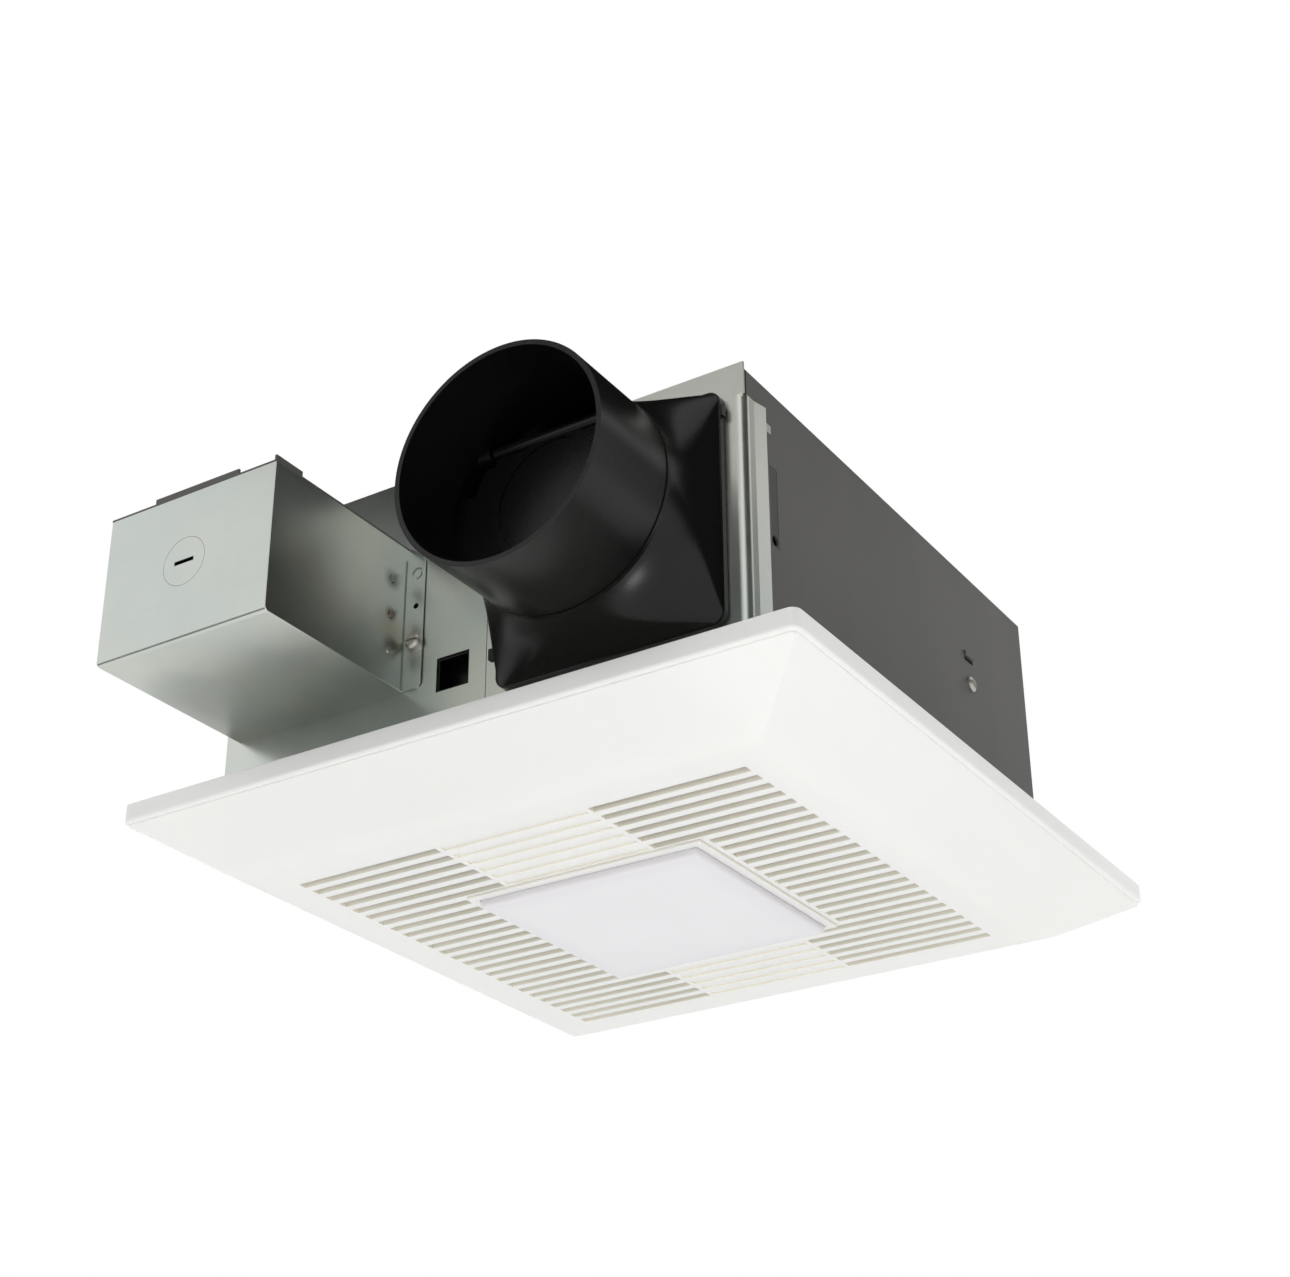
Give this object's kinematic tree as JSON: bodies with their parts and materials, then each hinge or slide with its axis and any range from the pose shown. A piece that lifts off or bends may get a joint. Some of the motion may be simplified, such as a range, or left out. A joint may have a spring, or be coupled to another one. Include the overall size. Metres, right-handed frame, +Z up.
{
  "type": "exhaust fan",
  "caption": "Ceiling exhaust fan with a slotted square grille and centre light, a steel housing, a round duct collar with a damper and a side wiring box; pulls room air up and out.",
  "frame": {"origin": "middle of the grille in plan, on the ceiling's lower face (the top of the grille's rim)", "axes": "+Z up through the ceiling opening into the housing, -Y out of the duct collar, +X towards the duct's side of the front"},
  "size_m": [0.33, 0.3924, 0.1676],
  "materials": {
    "white_plastic": "fine moulded satin",
    "opal_plastic": "opal diffuser, satin",
    "coated_steel": "dark grey coating, satin",
    "galvanised_steel": "zinc coated sheet, cloudy bright",
    "black_plastic": "moulded black, satin",
    "black_foam": "closed-cell foam",
    "rubber": "soft rubber",
    "zinc_steel": "zinc plated",
    "cast_aluminium": "die cast, matt",
    "circuit_board": "solder mask",
    "emitter_yellow": "phosphor",
    "spring_steel": "drawn spring wire",
    "white_nylon": "moulded nylon"
  },
  "bodies": {
    "housing": {"housing_shell": "coated_steel", "slot_plugs": "black_plastic", "adapter_plate": "galvanised_steel", "wiring_plate": "galvanised_steel", "adapter_gasket": "black_foam", "duct_adapter": "black_plastic", "junction_box": "galvanised_steel", "junction_cover": "coated_steel", "knockout_disc": "galvanised_steel", "box_screw": "zinc_steel", "ground_screw": "zinc_steel", "wire_socket": "black_plastic", "scroll_casing": "black_plastic", "inlet_plate": "galvanised_steel", "cover_screws": "zinc_steel", "side_screws": "zinc_steel", "motor_plate": "galvanised_steel", "motor_isolators": "rubber", "motor_case": "cast_aluminium", "motor_bearings": "zinc_steel", "motor_screws": "zinc_steel", "control_case": "black_plastic", "control_board": "circuit_board"},
    "blower": {"blower_wheel": "black_plastic", "motor_shaft": "zinc_steel", "wheel_nut": "zinc_steel"},
    "damper": {"damper_flap": "black_plastic", "damper_pin": "black_plastic"},
    "grille": {"grille_panel": "white_plastic", "lens_frame": "white_plastic", "light_lens": "opal_plastic", "light_pan": "galvanised_steel", "light_board": "circuit_board", "light_emitters": "emitter_yellow", "light_driver": "circuit_board", "light_standoffs": "zinc_steel", "spring_holders": "white_nylon", "spring_coils": "spring_steel"},
    "right_legs": {"right_spring_legs": "spring_steel"},
    "left_legs": {"left_spring_legs": "spring_steel"}
  },
  "joints": [
    {"name": "blower_spin", "type": "hinge", "parent": "housing", "child": "blower", "pos_m": [-0.004, 0.008, 0.07], "axis": [0, 0, 1], "continuous": true},
    {"name": "damper_swing", "type": "hinge", "parent": "housing", "child": "damper", "pos_m": [0.0639, -0.1723, 0.1046], "axis": [-1, 0, 0], "range_deg": [0, 60]},
    {"name": "grille_drop", "type": "slide", "parent": "housing", "child": "grille", "axis": [0, 0, -1], "range_m": [0, 0.07], "stiffness_N_per_m": 150, "springref_m": -0.15},
    {"name": "right_leg_fold", "type": "hinge", "parent": "grille", "child": "right_legs", "pos_m": [0, 0, -0.0134], "axis": [0, -1, 0], "range_deg": [0, 51]},
    {"name": "left_leg_fold", "type": "hinge", "parent": "grille", "child": "left_legs", "pos_m": [0, 0, -0.0134], "axis": [0, 1, 0], "range_deg": [0, 51]}
  ],
  "couplings": [
    {"joint": "right_leg_fold", "follows": "grille_drop", "rad_per_m": 12.467},
    {"joint": "left_leg_fold", "follows": "grille_drop", "rad_per_m": 12.467}
  ]
}
